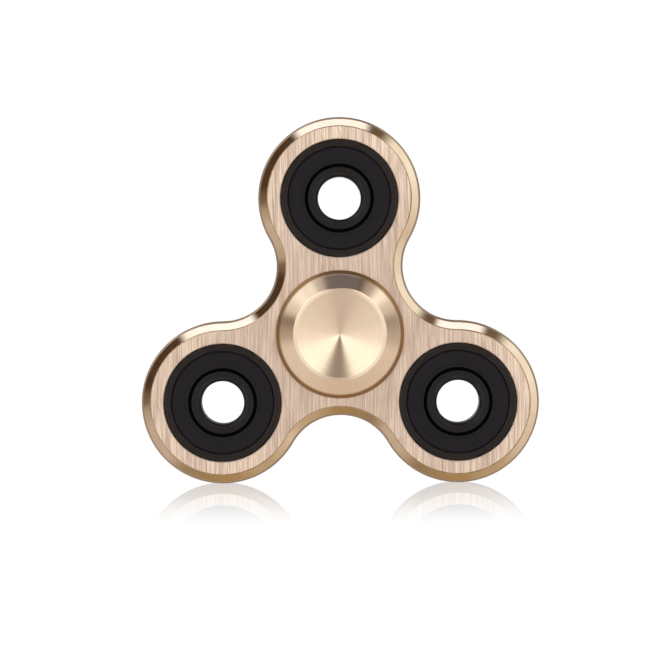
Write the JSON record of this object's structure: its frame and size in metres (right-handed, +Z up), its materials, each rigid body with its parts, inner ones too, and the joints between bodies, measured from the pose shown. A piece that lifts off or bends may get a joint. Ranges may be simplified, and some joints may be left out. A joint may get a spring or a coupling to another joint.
{
  "type": "fidget spinner",
  "caption": "Three-lobe metal fidget spinner: brushed plate with a polished bevel, black sealed ball bearings in the lobes and turned finger caps on a central bearing.",
  "frame": {"origin": "on the spin axis, halfway through the plate's thickness", "axes": "+Y along the spin axis, from the front face to the back; +Z up from the spin axis through the top lobe; +X to the right as seen from the front"},
  "size_m": [0.074, 0.0156, 0.0681],
  "materials": {
    "brushed_gold": "champagne gold anodised aluminium, brushed faces and polished bevels",
    "spun_gold": "champagne gold anodised aluminium, turned",
    "black_steel": "black oxide, satin",
    "bearing_steel": "ground",
    "black_rubber": "moulded, matte",
    "shield_steel": "pressed, satin",
    "cage_nylon": "moulded nylon",
    "ball_steel": "polished"
  },
  "bodies": {
    "frame": {"tri_lobe_body": "brushed_gold", "hub_bearing_outer_ring": "bearing_steel", "hub_bearing_front_shield": "shield_steel", "hub_bearing_back_shield": "shield_steel", "top_bearing_outer_ring": "black_steel", "top_bearing_front_seal": "black_rubber", "top_bearing_back_seal": "black_rubber", "left_bearing_outer_ring": "black_steel", "left_bearing_front_seal": "black_rubber", "left_bearing_back_seal": "black_rubber", "right_bearing_outer_ring": "black_steel", "right_bearing_front_seal": "black_rubber", "right_bearing_back_seal": "black_rubber"},
    "hub": {"front_cap": "spun_gold", "back_cap": "spun_gold", "hub_bearing_inner_ring": "bearing_steel"},
    "top_inner_ring": {"top_bearing_inner_ring": "black_steel"},
    "left_inner_ring": {"left_bearing_inner_ring": "black_steel"},
    "right_inner_ring": {"right_bearing_inner_ring": "black_steel"},
    "hub_cage": {"hub_bearing_cage": "cage_nylon"},
    "hub_ball_1": {"hub_bearing_ball_1": "ball_steel"},
    "hub_ball_2": {"hub_bearing_ball_2": "ball_steel"},
    "hub_ball_3": {"hub_bearing_ball_3": "ball_steel"},
    "hub_ball_4": {"hub_bearing_ball_4": "ball_steel"},
    "hub_ball_5": {"hub_bearing_ball_5": "ball_steel"},
    "hub_ball_6": {"hub_bearing_ball_6": "ball_steel"},
    "hub_ball_7": {"hub_bearing_ball_7": "ball_steel"},
    "top_cage": {"top_bearing_cage": "cage_nylon"},
    "top_ball_1": {"top_bearing_ball_1": "ball_steel"},
    "top_ball_2": {"top_bearing_ball_2": "ball_steel"},
    "top_ball_3": {"top_bearing_ball_3": "ball_steel"},
    "top_ball_4": {"top_bearing_ball_4": "ball_steel"},
    "top_ball_5": {"top_bearing_ball_5": "ball_steel"},
    "top_ball_6": {"top_bearing_ball_6": "ball_steel"},
    "top_ball_7": {"top_bearing_ball_7": "ball_steel"},
    "left_cage": {"left_bearing_cage": "cage_nylon"},
    "left_ball_1": {"left_bearing_ball_1": "ball_steel"},
    "left_ball_2": {"left_bearing_ball_2": "ball_steel"},
    "left_ball_3": {"left_bearing_ball_3": "ball_steel"},
    "left_ball_4": {"left_bearing_ball_4": "ball_steel"},
    "left_ball_5": {"left_bearing_ball_5": "ball_steel"},
    "left_ball_6": {"left_bearing_ball_6": "ball_steel"},
    "left_ball_7": {"left_bearing_ball_7": "ball_steel"},
    "right_cage": {"right_bearing_cage": "cage_nylon"},
    "right_ball_1": {"right_bearing_ball_1": "ball_steel"},
    "right_ball_2": {"right_bearing_ball_2": "ball_steel"},
    "right_ball_3": {"right_bearing_ball_3": "ball_steel"},
    "right_ball_4": {"right_bearing_ball_4": "ball_steel"},
    "right_ball_5": {"right_bearing_ball_5": "ball_steel"},
    "right_ball_6": {"right_bearing_ball_6": "ball_steel"},
    "right_ball_7": {"right_bearing_ball_7": "ball_steel"}
  },
  "joints": [
    {"name": "hub_spin", "type": "hinge", "parent": "frame", "child": "hub", "pos_m": [0, 0, 0], "axis": [0, -1, 0], "continuous": true},
    {"name": "top_inner_ring_spin", "type": "hinge", "parent": "frame", "child": "top_inner_ring", "pos_m": [0, 0, 0.0253], "axis": [0, -1, 0], "continuous": true},
    {"name": "left_inner_ring_spin", "type": "hinge", "parent": "frame", "child": "left_inner_ring", "pos_m": [-0.02191, 0, -0.01265], "axis": [0, -1, 0], "continuous": true},
    {"name": "right_inner_ring_spin", "type": "hinge", "parent": "frame", "child": "right_inner_ring", "pos_m": [0.02191, 0, -0.01265], "axis": [0, -1, 0], "continuous": true},
    {"name": "hub_cage_turn", "type": "hinge", "parent": "frame", "child": "hub_cage", "pos_m": [0, 0, 0], "axis": [0, -1, 0], "continuous": true},
    {"name": "hub_ball_1_roll", "type": "hinge", "parent": "hub_cage", "child": "hub_ball_1", "pos_m": [0, 0, 0.0075], "axis": [0, -1, 0], "continuous": true},
    {"name": "hub_ball_2_roll", "type": "hinge", "parent": "hub_cage", "child": "hub_ball_2", "pos_m": [-0.00586, 0, 0.00468], "axis": [0, -1, 0], "continuous": true},
    {"name": "hub_ball_3_roll", "type": "hinge", "parent": "hub_cage", "child": "hub_ball_3", "pos_m": [-0.00731, 0, -0.00167], "axis": [0, -1, 0], "continuous": true},
    {"name": "hub_ball_4_roll", "type": "hinge", "parent": "hub_cage", "child": "hub_ball_4", "pos_m": [-0.00325, 0, -0.00676], "axis": [0, -1, 0], "continuous": true},
    {"name": "hub_ball_5_roll", "type": "hinge", "parent": "hub_cage", "child": "hub_ball_5", "pos_m": [0.00325, 0, -0.00676], "axis": [0, -1, 0], "continuous": true},
    {"name": "hub_ball_6_roll", "type": "hinge", "parent": "hub_cage", "child": "hub_ball_6", "pos_m": [0.00731, 0, -0.00167], "axis": [0, -1, 0], "continuous": true},
    {"name": "hub_ball_7_roll", "type": "hinge", "parent": "hub_cage", "child": "hub_ball_7", "pos_m": [0.00586, 0, 0.00468], "axis": [0, -1, 0], "continuous": true},
    {"name": "top_cage_turn", "type": "hinge", "parent": "frame", "child": "top_cage", "pos_m": [0, 0, 0.0253], "axis": [0, -1, 0], "continuous": true},
    {"name": "top_ball_1_roll", "type": "hinge", "parent": "top_cage", "child": "top_ball_1", "pos_m": [0, 0, 0.0328], "axis": [0, -1, 0], "continuous": true},
    {"name": "top_ball_2_roll", "type": "hinge", "parent": "top_cage", "child": "top_ball_2", "pos_m": [-0.00586, 0, 0.02998], "axis": [0, -1, 0], "continuous": true},
    {"name": "top_ball_3_roll", "type": "hinge", "parent": "top_cage", "child": "top_ball_3", "pos_m": [-0.00731, 0, 0.02363], "axis": [0, -1, 0], "continuous": true},
    {"name": "top_ball_4_roll", "type": "hinge", "parent": "top_cage", "child": "top_ball_4", "pos_m": [-0.00325, 0, 0.01854], "axis": [0, -1, 0], "continuous": true},
    {"name": "top_ball_5_roll", "type": "hinge", "parent": "top_cage", "child": "top_ball_5", "pos_m": [0.00325, 0, 0.01854], "axis": [0, -1, 0], "continuous": true},
    {"name": "top_ball_6_roll", "type": "hinge", "parent": "top_cage", "child": "top_ball_6", "pos_m": [0.00731, 0, 0.02363], "axis": [0, -1, 0], "continuous": true},
    {"name": "top_ball_7_roll", "type": "hinge", "parent": "top_cage", "child": "top_ball_7", "pos_m": [0.00586, 0, 0.02998], "axis": [0, -1, 0], "continuous": true},
    {"name": "left_cage_turn", "type": "hinge", "parent": "frame", "child": "left_cage", "pos_m": [-0.02191, 0, -0.01265], "axis": [0, -1, 0], "continuous": true},
    {"name": "left_ball_1_roll", "type": "hinge", "parent": "left_cage", "child": "left_ball_1", "pos_m": [-0.02191, 0, -0.00515], "axis": [0, -1, 0], "continuous": true},
    {"name": "left_ball_2_roll", "type": "hinge", "parent": "left_cage", "child": "left_ball_2", "pos_m": [-0.02777, 0, -0.00797], "axis": [0, -1, 0], "continuous": true},
    {"name": "left_ball_3_roll", "type": "hinge", "parent": "left_cage", "child": "left_ball_3", "pos_m": [-0.02922, 0, -0.01432], "axis": [0, -1, 0], "continuous": true},
    {"name": "left_ball_4_roll", "type": "hinge", "parent": "left_cage", "child": "left_ball_4", "pos_m": [-0.02516, 0, -0.01941], "axis": [0, -1, 0], "continuous": true},
    {"name": "left_ball_5_roll", "type": "hinge", "parent": "left_cage", "child": "left_ball_5", "pos_m": [-0.01866, 0, -0.01941], "axis": [0, -1, 0], "continuous": true},
    {"name": "left_ball_6_roll", "type": "hinge", "parent": "left_cage", "child": "left_ball_6", "pos_m": [-0.0146, 0, -0.01432], "axis": [0, -1, 0], "continuous": true},
    {"name": "left_ball_7_roll", "type": "hinge", "parent": "left_cage", "child": "left_ball_7", "pos_m": [-0.01605, 0, -0.00797], "axis": [0, -1, 0], "continuous": true},
    {"name": "right_cage_turn", "type": "hinge", "parent": "frame", "child": "right_cage", "pos_m": [0.02191, 0, -0.01265], "axis": [0, -1, 0], "continuous": true},
    {"name": "right_ball_1_roll", "type": "hinge", "parent": "right_cage", "child": "right_ball_1", "pos_m": [0.02191, 0, -0.00515], "axis": [0, -1, 0], "continuous": true},
    {"name": "right_ball_2_roll", "type": "hinge", "parent": "right_cage", "child": "right_ball_2", "pos_m": [0.01605, 0, -0.00797], "axis": [0, -1, 0], "continuous": true},
    {"name": "right_ball_3_roll", "type": "hinge", "parent": "right_cage", "child": "right_ball_3", "pos_m": [0.0146, 0, -0.01432], "axis": [0, -1, 0], "continuous": true},
    {"name": "right_ball_4_roll", "type": "hinge", "parent": "right_cage", "child": "right_ball_4", "pos_m": [0.01866, 0, -0.01941], "axis": [0, -1, 0], "continuous": true},
    {"name": "right_ball_5_roll", "type": "hinge", "parent": "right_cage", "child": "right_ball_5", "pos_m": [0.02516, 0, -0.01941], "axis": [0, -1, 0], "continuous": true},
    {"name": "right_ball_6_roll", "type": "hinge", "parent": "right_cage", "child": "right_ball_6", "pos_m": [0.02922, 0, -0.01432], "axis": [0, -1, 0], "continuous": true},
    {"name": "right_ball_7_roll", "type": "hinge", "parent": "right_cage", "child": "right_ball_7", "pos_m": [0.02777, 0, -0.00797], "axis": [0, -1, 0], "continuous": true}
  ],
  "couplings": [
    {"joint": "hub_cage_turn", "follows": "hub_spin", "ratio": 0.3677},
    {"joint": "hub_ball_1_roll", "follows": "hub_spin", "ratio": -1.7573},
    {"joint": "hub_ball_2_roll", "follows": "hub_spin", "ratio": -1.7573},
    {"joint": "hub_ball_3_roll", "follows": "hub_spin", "ratio": -1.7573},
    {"joint": "hub_ball_4_roll", "follows": "hub_spin", "ratio": -1.7573},
    {"joint": "hub_ball_5_roll", "follows": "hub_spin", "ratio": -1.7573},
    {"joint": "hub_ball_6_roll", "follows": "hub_spin", "ratio": -1.7573},
    {"joint": "hub_ball_7_roll", "follows": "hub_spin", "ratio": -1.7573},
    {"joint": "top_cage_turn", "follows": "top_inner_ring_spin", "ratio": 0.3677},
    {"joint": "top_ball_1_roll", "follows": "top_inner_ring_spin", "ratio": -1.7573},
    {"joint": "top_ball_2_roll", "follows": "top_inner_ring_spin", "ratio": -1.7573},
    {"joint": "top_ball_3_roll", "follows": "top_inner_ring_spin", "ratio": -1.7573},
    {"joint": "top_ball_4_roll", "follows": "top_inner_ring_spin", "ratio": -1.7573},
    {"joint": "top_ball_5_roll", "follows": "top_inner_ring_spin", "ratio": -1.7573},
    {"joint": "top_ball_6_roll", "follows": "top_inner_ring_spin", "ratio": -1.7573},
    {"joint": "top_ball_7_roll", "follows": "top_inner_ring_spin", "ratio": -1.7573},
    {"joint": "left_cage_turn", "follows": "left_inner_ring_spin", "ratio": 0.3677},
    {"joint": "left_ball_1_roll", "follows": "left_inner_ring_spin", "ratio": -1.7573},
    {"joint": "left_ball_2_roll", "follows": "left_inner_ring_spin", "ratio": -1.7573},
    {"joint": "left_ball_3_roll", "follows": "left_inner_ring_spin", "ratio": -1.7573},
    {"joint": "left_ball_4_roll", "follows": "left_inner_ring_spin", "ratio": -1.7573},
    {"joint": "left_ball_5_roll", "follows": "left_inner_ring_spin", "ratio": -1.7573},
    {"joint": "left_ball_6_roll", "follows": "left_inner_ring_spin", "ratio": -1.7573},
    {"joint": "left_ball_7_roll", "follows": "left_inner_ring_spin", "ratio": -1.7573},
    {"joint": "right_cage_turn", "follows": "right_inner_ring_spin", "ratio": 0.3677},
    {"joint": "right_ball_1_roll", "follows": "right_inner_ring_spin", "ratio": -1.7573},
    {"joint": "right_ball_2_roll", "follows": "right_inner_ring_spin", "ratio": -1.7573},
    {"joint": "right_ball_3_roll", "follows": "right_inner_ring_spin", "ratio": -1.7573},
    {"joint": "right_ball_4_roll", "follows": "right_inner_ring_spin", "ratio": -1.7573},
    {"joint": "right_ball_5_roll", "follows": "right_inner_ring_spin", "ratio": -1.7573},
    {"joint": "right_ball_6_roll", "follows": "right_inner_ring_spin", "ratio": -1.7573},
    {"joint": "right_ball_7_roll", "follows": "right_inner_ring_spin", "ratio": -1.7573}
  ]
}
